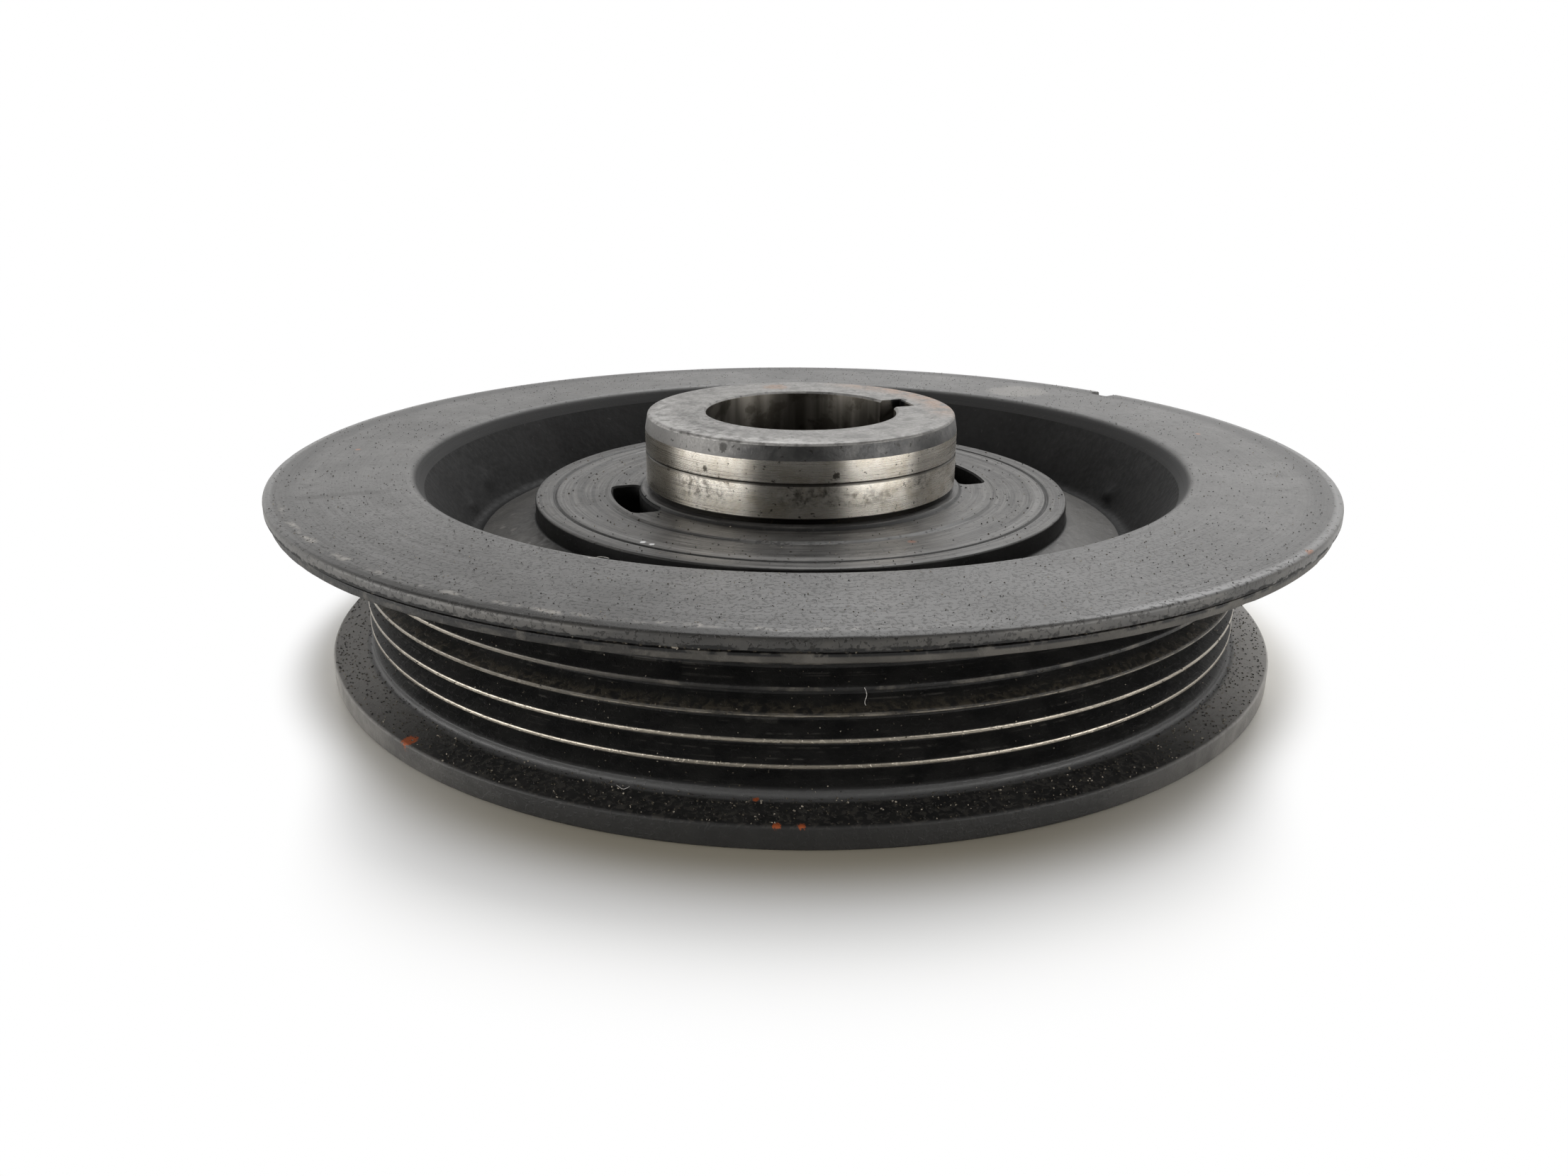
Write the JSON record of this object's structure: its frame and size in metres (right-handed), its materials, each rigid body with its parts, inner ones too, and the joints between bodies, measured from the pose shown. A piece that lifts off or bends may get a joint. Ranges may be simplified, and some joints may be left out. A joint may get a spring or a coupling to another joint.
{
  "type": "crankshaft pulley",
  "caption": "Crankshaft pulley with a belt-grooved outer ring bonded by rubber to a dished hub, whose keyed sleeve slides on the crankshaft nose and carries the oil seal.",
  "frame": {"origin": "on the crankshaft axis, in the plane of the belt ring's front face, which is the lowest point", "axes": "+Z along the crankshaft axis towards the engine, up as the part stands on its front face; +X through the middle of the keyway"},
  "size_m": [0.176, 0.176, 0.0386],
  "materials": {
    "hub_iron": "turned and ground on the working faces, dark as cast in the dish",
    "damper_rubber": "matt black, moulded in place",
    "ring_iron": "turned, oily and dusty, with polished rib crests"
  },
  "bodies": {
    "root": {"hub": "hub_iron", "rubber_ring": "damper_rubber", "belt_ring": "ring_iron"}
  },
  "joints": []
}
